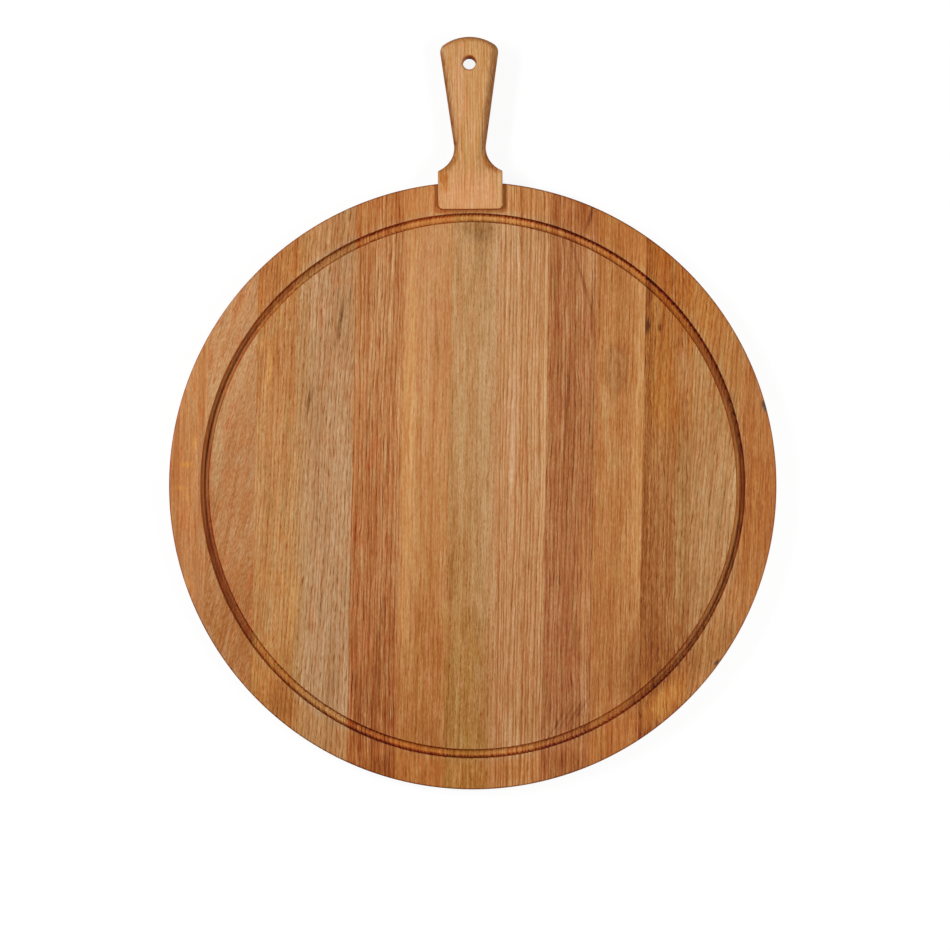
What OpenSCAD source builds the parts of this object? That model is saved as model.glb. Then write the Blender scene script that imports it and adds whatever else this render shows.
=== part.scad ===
// Round serving board with a hanging handle.
// Thirteen solid oak staves are glued edge to edge and turned to a disc with a juice groove.
// A separate oak handle is let into a pocket in the disc and held by two screws from beneath.
// The origin is the disc's centre on its underside, +Z is up and +Y runs out along the handle.

/* [Board] */
// Diameter of the round board
board_d = 565; // [400:5:700]
// Thickness of the board
board_t = 20; // [17:0.5:30]
// Radius of the eased edge round the rim, above and below
rim_round = 2.5; // [0.5:0.5:4]
// Width of one stave, from glue line to glue line
stave_w = 45; // [35:1:70]
// Turn of the glue lines against the handle, clockwise from above, in degrees
grain_turn = 1.5; // [0:0.5:5]

/* [Juice groove] */
// Distance from the rim to the middle of the groove
groove_in = 33.5; // [32:0.5:60]
// Diameter of the round-nosed cutter that sinks the groove
groove_w = 8; // [6:0.5:8.5]
// Depth of the groove
groove_deep = 5; // [3:0.5:7]
// Width of the eased lip on both sides of the groove
groove_lip = 0.25; // [0.1:0.05:0.5]

/* [Handle] */
// Distance that the handle stands out from the rim
handle_reach = 135; // [110:1:200]
// Thickness of the handle
handle_t = 18; // [16:0.5:20]
// Height of the handle's face above the board's face
handle_proud = 4; // [2:0.5:6]
// Width of the grip at its widest
grip_w = 54; // [46:1:60]
// Radius of the grip's end
crown_r = 42; // [34:1:80]
// Radius of the grip's two corners
grip_corner_r = 8.5; // [8:0.5:14]
// Round-over along the edges of the grip
grip_round = 7; // [3:0.5:7.5]
// Width of the neck at its narrowest
neck_w = 29.5; // [24:0.5:36]
// Distance from the rim to the narrowest point of the neck
neck_out = 32; // [30:0.5:45]
// Radius of the hollow between the neck and the base
flare_r = 24; // [18:0.5:28]

/* [Handle base] */
// Width of the base that is let into the board
base_w = 60; // [54:1:64]
// Distance that the base reaches in from the rim
base_in = 26; // [20:0.5:26.5]
// Radius of the base's two inner corners
base_corner_r = 4.5; // [2:0.5:8]
// Round-over along the edges of the base
base_round = 1.2; // [0.5:0.1:1.8]
// Radius of the two shoulders above the base
shoulder_r = 2; // [1.9:0.1:4]
// Thickness of the board left under the pocket
pocket_floor_t = 12; // [8:0.5:14]
// Gap between the base and the pocket's wall
pocket_gap = 0.15; // [0.05:0.05:0.4]
// Gap between the rim and the hollow shoulder under the base
shoulder_gap = 0.2; // [0.05:0.05:0.4]

/* [Hanging hole] */
// Diameter of the hanging hole
hole_d = 12; // [8:0.5:18]
// Distance from the end of the grip to the middle of the hole
hole_in = 25; // [18:0.5:40]
// Round-over on both edges of the hole
hole_round = 2.5; // [1:0.5:4]

/* [Screws] */
// Outer diameter of the screw thread
screw_d = 4; // [3:0.5:5]
// Diameter of the core between the turns of the thread
screw_core_d = 2.6; // [2:0.1:2.8]
// Length of the screw, head included
screw_l = 20; // [16:0.5:21]
// Length of the plain shank under the head
screw_shank_l = 8; // [6:0.5:10]
// Pitch of the thread
screw_pitch = 1.8; // [1.2:0.1:2.5]
// Length of the pointed end
screw_point_l = 3; // [2:0.5:4]
// Diameter of the countersunk head
screw_head_d = 8; // [7:0.5:10]
// Straight edge of the head, below its cone
screw_head_rim = 0.4; // [0.2:0.1:0.8]
// Width across the points of the socket in the head
screw_drive_d = 3.2; // [2:0.1:4]
// Depth of the socket in the head
screw_drive_deep = 1.8; // [1:0.1:2.2]
// Depth of the head below the underside of the board
screw_sink = 0.5; // [0.2:0.1:1.5]
// Distance between the two screws
screw_spread = 40; // [30:1:44]
// Distance from the rim to the screws
screw_in = 13; // [8:0.5:16]
// Gap between the screw and the wood round it
screw_gap = 0.1; // [0.05:0.05:0.3]

/* [Hidden] */
$fn = 128;

// Overrun of cuts past the faces that they open
overrun = 1;
// Points of the outline that lie closer than this are one
merge_gap = overrun / 1000;

board_r = board_d / 2;
groove_r = board_r - groove_in;
pocket_deep = board_t - pocket_floor_t;

// Half the width that the cutter leaves at the board's face
groove_cut_r = groove_w / 2;
groove_half = groove_deep >= groove_cut_r
    ? groove_cut_r
    : sqrt(pow(groove_cut_r, 2) - pow(groove_cut_r - groove_deep, 2));

// The middle stave straddles the centre, and staves are added on both sides until the rim is covered
side_staves = ceil((board_r - stave_w / 2) / stave_w);
stave_count = 2 * side_staves + 1;
stave_names = [for (i = [1 : stave_count]) str("stave_", i < 10 ? "0" : "", i)];

// Tone of each stave from left to right, repeated when there are more staves
stave_tones = [
    "#C0854D", "#C58F63", "#BE8446", "#B18A5E", "#B06E3C", "#C8914F", "#B08953",
    "#C99468", "#A4683A", "#B9783F", "#A46A38", "#B68C60", "#B57A3F"
];

// Heights of the handle
handle_top = board_t + handle_proud;
handle_bottom = handle_top - handle_t;

// Places along the handle, from the board's centre
handle_end = board_r + handle_reach;
base_end = board_r - base_in;
hole_y = handle_end - hole_in;
screw_y = board_r - screw_in;

// Centres of the arcs on the handle's right side
crown_c = [0, handle_end - crown_r];
corner_x = grip_w / 2 - grip_corner_r;
corner_c = [corner_x, crown_c[1] + sqrt(pow(crown_r - grip_corner_r, 2) - pow(corner_x, 2))];
flare_c = [neck_w / 2 + flare_r, board_r + neck_out];
shoulder_x = base_w / 2 - shoulder_r;
shoulder_c = [
    shoulder_x,
    flare_c[1] - sqrt(pow(flare_r + shoulder_r, 2) - pow(flare_c[0] - shoulder_x, 2))
];
base_c = [base_w / 2 - base_corner_r, base_end + base_corner_r];

// Directions in which the arcs meet. The flank is the straight line that touches corner and flare.
crown_turn = atan2(corner_c[1] - crown_c[1], corner_c[0]);
corner_to_flare = flare_c - corner_c;
flank_turn = atan2(corner_to_flare[1], corner_to_flare[0])
    + acos((grip_corner_r + flare_r) / norm(corner_to_flare));
flare_from = 180 + flank_turn;
flare_to = 360 + atan2(shoulder_c[1] - flare_c[1], shoulder_c[0] - flare_c[0]);

// Steps that each stretch of the outline is divided into
crown_steps = 8;
corner_steps = 7;
flare_steps = 12;
shoulder_steps = 4;
base_corner_steps = 6;
round_steps = 6;

// A point of the outline holds its place, its outward direction as an angle, and its round-over
function on_arc(centre, r, turn, outward, edge_round) =
    [centre[0] + r * cos(turn), centre[1] + r * sin(turn), outward, edge_round];

function arc_points(centre, r, from, to, steps, edge_round) =
    [for (k = [0 : steps]) let (turn = from + (to - from) * k / steps)
        on_arc(centre, r, turn, turn, edge_round)];

// The flare's round-over fades from the grip's to the base's, slowly at both ends
function fade(share) = (1 - cos(180 * share)) / 2;

flare_points = [for (k = [0 : flare_steps])
    let (turn = flare_from + (flare_to - flare_from) * k / flare_steps)
    on_arc(flare_c, flare_r, turn, turn - 180,
        grip_round + (base_round - grip_round) * fade(k / flare_steps))];

right_side = concat(
    arc_points(crown_c, crown_r, 90, crown_turn, crown_steps, grip_round),
    arc_points(corner_c, grip_corner_r, crown_turn, flank_turn, corner_steps, grip_round),
    flare_points,
    arc_points(shoulder_c, shoulder_r, flare_to - 180, 0, shoulder_steps, base_round),
    arc_points(base_c, base_corner_r, 0, -90, base_corner_steps, base_round)
);

// Stretches of the outline meet in shared points, and each is kept once
function apart(a, b) = norm([a[0] - b[0], a[1] - b[1]]) > merge_gap;
right_once = [for (k = [0 : len(right_side) - 1])
    if (k == 0 || apart(right_side[k], right_side[k - 1])) right_side[k]];

outline = concat(
    right_once,
    [for (k = [len(right_once) - 1 : -1 : 1])
        [-right_once[k][0], right_once[k][1], 180 - right_once[k][2], right_once[k][3]]]
);

// One level of the handle: turn 0 is where the round-over leaves the side, 90 where it meets the face
function level(turn, face_z, up) = [for (p = outline) let (inset = p[3] * (1 - cos(turn)))
    [p[0] - inset * cos(p[2]), p[1] - inset * sin(p[2]), face_z - up * p[3] * (1 - sin(turn))]];

round_turns = [for (k = [0 : round_steps]) 90 * k / round_steps];
levels = concat(
    [for (k = [round_steps : -1 : 0]) level(round_turns[k], handle_bottom, -1)],
    [for (k = [0 : round_steps]) level(round_turns[k], handle_top, 1)]
);

// Section of the disc from its axis to the rim, with both rim edges rounded
module board_section() {
    square([board_r - rim_round, board_t]);
    translate([0, rim_round])
        square([board_r, board_t - 2 * rim_round]);
    for (z = [rim_round, board_t - rim_round])
        translate([board_r - rim_round, z])
            circle(r = rim_round);
}

// Section of the juice groove: a round-nosed cut with straight walls above and eased lips
module groove_section() {
    straight = max(groove_deep - groove_cut_r, 0);
    translate([groove_r, board_t - groove_deep + groove_cut_r])
        circle(r = groove_cut_r);
    translate([groove_r - groove_cut_r, board_t - straight])
        square([groove_w, straight + overrun]);
    polygon([
        [groove_r - groove_half, board_t - groove_lip],
        [groove_r - groove_half - groove_lip, board_t],
        [groove_r - groove_half - groove_lip, board_t + overrun],
        [groove_r + groove_half + groove_lip, board_t + overrun],
        [groove_r + groove_half + groove_lip, board_t],
        [groove_r + groove_half, board_t - groove_lip]
    ]);
}

// The glued panel after turning, still without the pocket
module turned_board() {
    rotate_extrude()
        difference() {
            board_section();
            groove_section();
        }
}

// The pocket for the handle's base, open at the rim
module pocket() {
    wall = base_w / 2 + pocket_gap;
    corner = base_corner_r + pocket_gap;
    inner = base_end - pocket_gap;
    translate([0, 0, pocket_floor_t]) {
        translate([-wall, inner + corner, 0])
            cube([2 * wall, base_in, pocket_deep + overrun]);
        translate([corner - wall, inner, 0])
            cube([2 * (wall - corner), base_in, pocket_deep + overrun]);
        for (side = [-1, 1])
            translate([side * (wall - corner), inner + corner, 0])
                cylinder(r = corner, h = pocket_deep + overrun);
    }
}

// Puts its children at both screws
module at_screws() {
    for (side = [-1, 1])
        translate([side * screw_spread / 2, screw_y, screw_sink])
            children();
}

// Countersunk clearance holes through the floor of the pocket
module screw_holes() {
    shank_r = screw_d / 2 + screw_gap;
    head_r = screw_head_d / 2 + screw_gap;
    at_screws()
        rotate_extrude()
            polygon([
                [0, -screw_sink - overrun],
                [head_r, -screw_sink - overrun],
                [head_r, screw_head_rim],
                [shank_r, screw_head_rim + head_r - shank_r],
                [shank_r, board_t],
                [0, board_t]
            ]);
}

// One stave, cut from the turned board between its two glue lines
module stave(i) {
    color(stave_tones[i % len(stave_tones)])
        difference() {
            intersection() {
                turned_board();
                rotate([0, 0, -grain_turn])
                    translate([(i - side_staves - 0.5) * stave_w, -board_d, -overrun])
                        cube([stave_w, 2 * board_d, board_t + 2 * overrun]);
            }
            pocket();
            screw_holes();
        }
}

// Triangles across one face of the handle, from points on its right side to their mirror images
function across(first, n, half_n, up) = [for (k = [0 : half_n - 1], half = [0, 1])
    let (
        right = first + k,
        right_next = first + k + 1,
        left = first + (n - k) % n,
        left_next = first + (n - k - 1) % n,
        corners = half == 0 ? [right, right_next, left_next] : [right, left_next, left]
    )
    if (corners[0] != corners[2])
        up ? corners : [corners[2], corners[1], corners[0]]];

// The handle's full body: the outline at every level, joined by triangles
module handle_body() {
    n = len(outline);
    half_n = len(right_once) - 1;
    last = len(levels) - 1;
    polyhedron(
        points = [for (ring = levels) each ring],
        faces = concat(
            across(0, n, half_n, false),
            [for (j = [0 : last - 1], k = [0 : n - 1], half = [0, 1])
                let (a = j * n + k, b = j * n + (k + 1) % n)
                half == 0 ? [a, b, b + n] : [a, b + n, a + n]],
            across(last * n, n, half_n, true)
        )
    );
}

// Cut for the hanging hole, widening in a quarter round at both faces
module hanging_hole() {
    hole_r = hole_d / 2;
    translate([0, hole_y, 0]) {
        translate([0, 0, handle_bottom - overrun])
            cylinder(d = hole_d, h = handle_t + 2 * overrun);
        rotate_extrude()
            for (face = [handle_bottom, handle_top - hole_round])
                difference() {
                    translate([0, face])
                        square([hole_r + hole_round, hole_round]);
                    translate([hole_r + hole_round, face == handle_bottom ? face + hole_round : face])
                        circle(r = hole_round);
                }
    }
}

// The handle with its tongue thinned to lie in the pocket and hollowed to fit the rim
module handle() {
    color("#CE9A66")
        difference() {
            handle_body();
            translate([0, 0, -overrun])
                cylinder(r = board_r + shoulder_gap, h = pocket_floor_t + overrun);
            hanging_hole();
            at_screws()
                cylinder(d = screw_d + 2 * screw_gap, h = screw_l + screw_gap);
        }
}

// Section of one wood screw from its head at the bottom to its point, with the thread as ridges
module screw_section() {
    cone_h = (screw_head_d - screw_d) / 2;
    head_h = screw_head_rim + cone_h;
    core_r = screw_core_d / 2;
    thread_r = screw_d / 2;
    ridges = floor((screw_l - screw_point_l - screw_shank_l) / screw_pitch);
    thread_end = screw_shank_l + ridges * screw_pitch;
    polygon(concat(
        [
            [0, 0],
            [screw_head_d / 2, 0],
            [screw_head_d / 2, screw_head_rim],
            [thread_r, head_h],
            [thread_r, screw_shank_l]
        ],
        [for (k = [0 : ridges - 1], step = [0, 1])
            step == 0
                ? [core_r, screw_shank_l + (k + 0.25) * screw_pitch]
                : [thread_r, screw_shank_l + (k + 0.75) * screw_pitch]],
        [
            [core_r, thread_end],
            [core_r, screw_l - screw_point_l],
            [0, screw_l]
        ]
    ));
}

// Two countersunk wood screws with six-sided sockets
module handle_screws() {
    color("#B9B7B2")
        at_screws()
            difference() {
                rotate_extrude()
                    screw_section();
                translate([0, 0, -overrun])
                    cylinder(d = screw_drive_d, h = screw_drive_deep + overrun, $fn = 6);
            }
}

for (i = [0 : stave_count - 1])
    stave(i);
handle();
handle_screws();
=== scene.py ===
import math

import bmesh
import bpy
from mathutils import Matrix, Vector


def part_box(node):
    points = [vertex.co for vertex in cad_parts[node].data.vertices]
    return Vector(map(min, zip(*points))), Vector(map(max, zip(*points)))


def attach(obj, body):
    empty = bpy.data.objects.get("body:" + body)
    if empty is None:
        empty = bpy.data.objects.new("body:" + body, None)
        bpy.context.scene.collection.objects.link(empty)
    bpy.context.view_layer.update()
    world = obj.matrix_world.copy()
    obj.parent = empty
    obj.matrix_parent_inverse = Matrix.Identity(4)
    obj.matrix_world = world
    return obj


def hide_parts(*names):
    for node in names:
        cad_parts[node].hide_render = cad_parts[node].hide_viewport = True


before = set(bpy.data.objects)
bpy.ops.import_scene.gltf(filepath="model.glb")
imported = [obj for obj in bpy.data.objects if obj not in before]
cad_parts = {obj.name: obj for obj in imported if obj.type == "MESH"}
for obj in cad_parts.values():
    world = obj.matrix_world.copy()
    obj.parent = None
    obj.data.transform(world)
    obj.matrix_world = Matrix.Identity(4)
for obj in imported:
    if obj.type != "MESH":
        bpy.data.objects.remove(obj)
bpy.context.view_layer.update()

# Board of thirteen staves
# Solid oak staves, sawn to one width, are glued edge to edge into a panel. The panel is turned on a
# lathe to a disc with eased rims and a round-nosed juice groove, then sanded and oiled.
mm = 0.001
stave_names = sorted(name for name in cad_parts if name.startswith("stave"))
board_r = 282.5 * mm
board_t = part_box(stave_names[0])[1].z
stave_w = 45 * mm
grain_turn = math.radians(1.5)
rim_round = 2.5 * mm
groove_r = board_r - 33.5 * mm
groove_cut_r = 4 * mm
groove_deep = 5 * mm
groove_lip = 0.25 * mm
turning_steps = 2400
rim_steps = 6
groove_steps = 12
chip_deep = 0.55 * mm
chip_spacing = 2.9 * mm
inner_chips = 0.45


def arc(centre, radius, start, end, steps):
    """Points of an arc between two angles in degrees"""
    turns = [math.radians(start + (end - start) * k / steps) for k in range(steps + 1)]
    return [(centre[0] + radius * math.cos(a), centre[1] + radius * math.sin(a)) for a in turns]


def finished(name, mesh):
    """The mesh data of a mesh that has been built"""
    data = bpy.data.meshes.new(name)
    mesh.to_mesh(data)
    mesh.free()
    return data


def lathe(name, profile, steps):
    """A closed mesh that turns a profile, listed from the bottom face to the top, round the Z axis"""
    mesh = bmesh.new()
    rings = []
    for radius, height in profile:
        if radius == 0:
            rings.append([mesh.verts.new((0, 0, height))] * steps)
            continue
        turns = [2 * math.pi * k / steps for k in range(steps)]
        rings.append([mesh.verts.new((radius * math.cos(a), radius * math.sin(a), height)) for a in turns])
    for lower, upper in zip(rings, rings[1:]):
        for k in range(steps):
            corners = [lower[k], lower[(k + 1) % steps], upper[(k + 1) % steps], upper[k]]
            mesh.faces.new(dict.fromkeys(corners))
    if profile[0][0] > 0:
        mesh.faces.new(reversed(rings[0]))
    if profile[-1][0] > 0:
        mesh.faces.new(rings[-1])
    return finished(name, mesh)


def panel_profile():
    """Half section of the turned panel: underside, rim, top, groove and the start of the serving face"""
    rim = board_r - rim_round
    nose = (groove_r, board_t - groove_deep + groove_cut_r)
    points = arc((rim, rim_round), rim_round, -90, 0, rim_steps)
    points += arc((rim, board_t - rim_round), rim_round, 0, 90, rim_steps)
    points.append((groove_r + groove_cut_r + groove_lip, board_t))
    points.append((groove_r + groove_cut_r, board_t - groove_lip))
    points += arc(nose, groove_cut_r, 0, -180, groove_steps)
    points.append((groove_r - groove_cut_r, board_t - groove_lip))
    points.append((groove_r - groove_cut_r - groove_lip, board_t))
    return points


def tear_grain(data):
    """Chips both edges of the groove, most where the cutter ran straight across the grain"""
    for vert in data.vertices:
        radius = math.hypot(vert.co.x, vert.co.y)
        edge = abs(abs(radius - groove_r) - groove_cut_r) < 1.5 * groove_lip
        if not edge or vert.co.z < board_t - 2 * groove_lip:
            continue
        across = abs(math.cos(math.atan2(vert.co.x, vert.co.y) - grain_turn)) ** 6
        # One chip for each coarse ring. Slow waves make the chips unevenly long and unevenly deep.
        run = (vert.co.x * math.cos(grain_turn) - vert.co.y * math.sin(grain_turn)) / chip_spacing
        tooth = (run + 0.4 * math.sin(1.7 * run) + 0.3 * math.sin(0.61 * run + 2)) % 1
        size = 0.5 + 0.5 * math.sin(2.3 * math.floor(run) + 1)
        away = 1 if radius > groove_r else -inner_chips
        vert.co.xy *= 1 + away * chip_deep * across * size * tooth ** 2 / radius


def new_object(name, data):
    made = bpy.data.objects.new(name, data)
    bpy.context.scene.collection.objects.link(made)
    return made


def add(tree, kind, inputs=(), **settings):
    """Adds a node with its settings, then links or sets each of its inputs, named or numbered"""
    made = tree.nodes.new(kind)
    for name, value in settings.items():
        setattr(made, name, value)
    for key, value in dict(inputs).items():
        sockets = [s for s in made.inputs if s.enabled and key in (s.name, s.identifier)]
        socket = made.inputs[key] if isinstance(key, int) else sockets[0]
        if isinstance(value, bpy.types.Node):
            value = next(s for s in value.outputs if s.enabled)
        if isinstance(value, bpy.types.NodeSocket):
            tree.links.new(value, socket)
        else:
            socket.default_value = value
    return made


def tree_with(name, sockets):
    """A geometry tree with a mesh in, a mesh out and the named inputs, and its input node's sockets"""
    tree = bpy.data.node_groups.new(name, "GeometryNodeTree")
    tree.interface.new_socket("Geometry", in_out="INPUT", socket_type="NodeSocketGeometry")
    for label, kind in sockets.items():
        tree.interface.new_socket(label, in_out="INPUT", socket_type="NodeSocket" + kind)
    tree.interface.new_socket("Geometry", in_out="OUTPUT", socket_type="NodeSocketGeometry")
    return tree, tree.nodes.new("NodeGroupInput").outputs


def finish_tree(tree, solid, material):
    """Smooths the round faces, keeps edges over 30 degrees sharp, and sets the material"""
    smooth = add(tree, "GeometryNodeSetShadeSmooth", {"Geometry": solid}, domain="FACE")
    angle = add(tree, "GeometryNodeInputMeshEdgeAngle")
    sharp = add(tree, "ShaderNodeMath", {0: angle, 1: math.radians(30)}, operation="GREATER_THAN")
    keep = {"Geometry": smooth, "Selection": sharp, "Shade Smooth": False}
    edged = add(tree, "GeometryNodeSetShadeSmooth", keep, domain="EDGE")
    real = add(tree, "GeometryNodeRealizeInstances", {"Geometry": edged})
    done = add(tree, "GeometryNodeSetMaterial", {"Geometry": real, "Material": material})
    add(tree, "NodeGroupOutput", {"Geometry": done})


def grown(name, data, tree, values):
    """The plain mesh object that a tree makes from a mesh with these input values"""
    maker = new_object("maker", data)
    modifier = maker.modifiers.new("tree", "NODES")
    modifier.node_group = tree
    sockets = {s.name: s.identifier for s in tree.interface.items_tree if s.in_out == "INPUT"}
    for label, value in values.items():
        modifier[sockets[label]] = value
    evaluated = maker.evaluated_get(bpy.context.evaluated_depsgraph_get())
    made = bpy.data.meshes.new_from_object(evaluated)
    bpy.data.objects.remove(maker)
    made.name = name
    return new_object(name, made)


# The tree that saws one stave out of the turned panel and cuts the pocket and screw holes into it.
# It keeps what lies in a slab as wide as the stave, longer than the board and twice as thick, whose
# middle is at the board's underside.
slab_long = 2.5
slab_thick = 2.0
stave_tree, given = tree_with("saw_stave", {
    "Places From Middle": "Float", "Stave Width": "Float", "Grain Turn": "Float", "Board Radius": "Float",
    "Board Thickness": "Float", "Pocket Cutter": "Object", "Material": "Material",
})
length = {0: given["Board Radius"], 1: slab_long}
length = add(stave_tree, "ShaderNodeMath", length, operation="MULTIPLY")
height = {0: given["Board Thickness"], 1: slab_thick}
height = add(stave_tree, "ShaderNodeMath", height, operation="MULTIPLY")
size = add(stave_tree, "ShaderNodeCombineXYZ", {"X": given["Stave Width"], "Y": length, "Z": height})
slab = add(stave_tree, "GeometryNodeMeshCube", {"Size": size})
across = {0: given["Places From Middle"], 1: given["Stave Width"]}
shift = add(stave_tree, "ShaderNodeMath", across, operation="MULTIPLY")
shift = add(stave_tree, "ShaderNodeCombineXYZ", {"X": shift})
slab = add(stave_tree, "GeometryNodeTransform", {"Geometry": slab, "Translation": shift})
turn = add(stave_tree, "ShaderNodeMath", {0: given["Grain Turn"], 1: -1.0}, operation="MULTIPLY")
turn = add(stave_tree, "ShaderNodeCombineXYZ", {"Z": turn})
slab = add(stave_tree, "GeometryNodeTransform", {"Geometry": slab, "Rotation": turn})
sawn = add(stave_tree, "GeometryNodeMeshBoolean", operation="INTERSECT", solver="MANIFOLD")
stave_tree.links.new(given["Geometry"], sawn.inputs["Mesh 2"])
stave_tree.links.new(slab.outputs[0], sawn.inputs["Mesh 2"])
cutter = add(stave_tree, "GeometryNodeObjectInfo", {"Object": given["Pocket Cutter"]})
cut = add(stave_tree, "GeometryNodeMeshBoolean", {"Mesh 1": sawn}, operation="DIFFERENCE", solver="MANIFOLD")
stave_tree.links.new(cutter.outputs["Geometry"], cut.inputs["Mesh 2"])
finish_tree(stave_tree, cut, given["Material"])

# Sizes of the pocket and of the countersunk holes through its floor
base_w = 60 * mm
base_in = 26 * mm
base_corner_r = 4.5 * mm
corner_steps = 10
pocket_floor_t = 12 * mm
pocket_gap = 0.15 * mm
screw_x = 20 * mm
screw_y = board_r - 13 * mm
screw_r = 2 * mm
screw_head_r = 4 * mm
screw_head_rim = 0.4 * mm
screw_sink = 0.5 * mm
screw_gap = 0.1 * mm
countersink_steps = 64
overrun = 1 * mm


def add_copy(mesh, data, x, y):
    """Adds mesh data, moved sideways, to a mesh that is being built"""
    first = len(mesh.verts)
    mesh.from_mesh(data)
    mesh.verts.ensure_lookup_table()
    bmesh.ops.translate(mesh, verts=mesh.verts[first:], vec=(x, y, 0))


def pocket_cutter():
    """What the router and the countersink take out of the panel for the handle and its screws"""
    half_w = base_w / 2 + pocket_gap
    corner = base_corner_r + pocket_gap
    inner = board_r - base_in - pocket_gap
    outline = [(half_w, board_r + overrun), (-half_w, board_r + overrun)]
    for side in (-1, 1):
        centre = (side * (half_w - corner), inner + corner)
        start, end = (-180, -90) if side < 0 else (-90, 0)
        outline += arc(centre, corner, start, end, corner_steps)
    mesh = bmesh.new()
    floor = [mesh.verts.new((x, y, pocket_floor_t)) for x, y in outline]
    top = [mesh.verts.new((x, y, board_t + overrun)) for x, y in outline]
    mesh.faces.new(reversed(floor))
    mesh.faces.new(top)
    for k in range(len(outline)):
        after = (k + 1) % len(outline)
        mesh.faces.new((floor[k], floor[after], top[after], top[k]))
    shank_r = screw_r + screw_gap
    head_r = screw_head_r + screw_gap
    rim_z = screw_sink + screw_head_rim
    hole = lathe("countersink", [
        (head_r, -overrun), (head_r, rim_z), (shank_r, rim_z + head_r - shank_r),
        (shank_r, pocket_floor_t + overrun),
    ], countersink_steps)
    for side in (-1, 1):
        add_copy(mesh, hole, side * screw_x, screw_y)
    bmesh.ops.recalc_face_normals(mesh, faces=mesh.faces)
    return new_object("pocket_cutter", finished("pocket_cutter", mesh))


def srgb(text):
    """Linear colour of an sRGB hex value"""
    parts = [int(text[i:i + 2], 16) / 255 for i in (1, 3, 5)]
    return (*[c / 12.92 if c <= 0.04045 else ((c + 0.055) / 1.055) ** 2.4 for c in parts], 1.0)


# Oiled oak
# Ring-porous oak, sawn, planed, sanded and oiled. Its early wood is full of open pores, which run as
# dark dashes along the grain, denser wood is darker and richer in colour, and end grain is darkest.
# Real pores are 0.3 mm wide. They are drawn wider, so that they show at a pixel of 0.9 mm.
oak_ior = 1.47
oak_rough = 0.55
oak_gloss = 0.25
pore_rough = 0.2
wall_rough = 0.9
relief_deep = 0.1 * mm
relief_share = 0.5
pore_dip = 0.7
early_dip = 0.2
fibre_dip = 0.2

# Tints of the rim and, as painted bounce light, of the groove, how much deeper the colour is where end
# grain drinks more oil, and the share and direction of painted shade on faces that look towards the lower
# left
groove_tint = (1.06, 0.92, 0.61)
rim_tint = (1.0, 0.88, 0.7)
end_soak = 0.4
side_shade = 0.6
side_shade_turn = math.radians(212)

# Sizes of the wood's patterns across the grain, along it and through the board
sway_size = (70 * mm, 260 * mm, 70 * mm)
ripple_size = (12 * mm, 42 * mm, 12 * mm)
quiver_size = (4 * mm, 13 * mm, 4 * mm)
uneven_size = (8 * mm, 300 * mm, 8 * mm)
drift_size = (50 * mm, 110 * mm, 50 * mm)
warm_size = (7 * mm, 30 * mm, 7 * mm)
cool_size = (5 * mm, 36 * mm, 5 * mm)
ragged_size = (4 * mm, 22 * mm, 4 * mm)
ray_size = (0.8 * mm, 3.8 * mm, 3 * mm)
grit_size = (1.2 * mm, 4 * mm, 1.2 * mm)
band_l = 200 * mm
thread_w = 2.4 * mm
thread_l = 50 * mm
fibre_w = 0.8 * mm
pore_w = 0.7 * mm
noise_gain = 3.0
noise_rough = 0.6

# Where a pattern starts and where it is full: places along the board, spread by the drift, for its
# fade to both ends, values of noise for patches and pores, and half sizes from its middle for a mark
high_edge = (0.0, 120 * mm)
low_edge = (0.0, -150 * mm)
drift_spread = 50 * mm
patch_edge = (0.0, 0.5)
pore_edge = (0.1, 0.55)
mark_edge = (1.3, 0.3)
mark_ragged = 0.5
even_ground = -0.15
ground_soft = 0.3

# The same for faces, as the cosine between the way that a face looks and the way that is asked for,
# and for places, as distances from the groove's middle and from the tongue
wall_shade_edge = (0.97, 0.4)
end_edge = (0.2, 0.9)
side_shade_edge = (0.25, 0.95)
outward_edge = (-0.3, 0.3)
rim_edge = (groove_cut_r, 3 * groove_cut_r)
hollow_edge = (groove_cut_r, 0.85 * groove_cut_r)
tongue_shadow_edge = (4.5 * mm, 1.8 * mm)

# Share of early wood at places through one growth ring, and where one ring ends and the next begins,
# how many rings the lines stray, and the share of pores outside early wood
ring_levels = ((0.12, 1.0), (0.34, 0.25), (0.8, 0.0))
ring_join = 0.4
ring_stray = 0.7
late_pores = 0.2

# Mean levels of the patterns that mostly darken. They are taken off again, so the mean colour stays.
pattern_means = {"rings": 0.35, "fibres": 0.15, "flecks": 0.05, "pores": 0.1}

# Plain oak, from which each piece departs. Colours come first, then how strongly each pattern shows,
# with the patterns' own sizes in mm, then the shares of painted shade on walls, in the groove and round
# the tongue, of darkening on outward faces, of torn end grain and of the rim's tint. The slant is
# sideways run along the grain, and the flecks lean by degrees.
# A mark has a place across and along, a half width, a half length, a tone, a share and a lean, which
# tips its far end to the left. Marks reach mark_deep below the top, and later ones lie over earlier ones.
plain_oak = {
    "main": "#B67F4D", "warm": "#BC7A45", "cool": "#AE8557", "high": "#BC8654", "low": "#AC7541",
    "warm_share": 0.6, "cool_share": 0.55, "fade": 0.5, "slant": 0.0, "sway": 2.0, "ripple": 0.8,
    "rings": 0.3, "ring_w": 3.3, "pith": (160, -60), "bands": 0.2, "band_w": 8,
    "threads": 0.1, "fibres": 0.45, "fibre_l": 18, "pores": 0.5, "pore_l": 8, "grit": 0.15,
    "flecks": 0.0, "fleck_lean": 22, "wall_shade": 0.4, "outward_darkening": 0.3, "painted_groove_shade": 0.0,
    "torn": 3.0, "corner": 0.45, "warm_rim": 1.0, "mark_deep": 1000, "marks": (),
}


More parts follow.
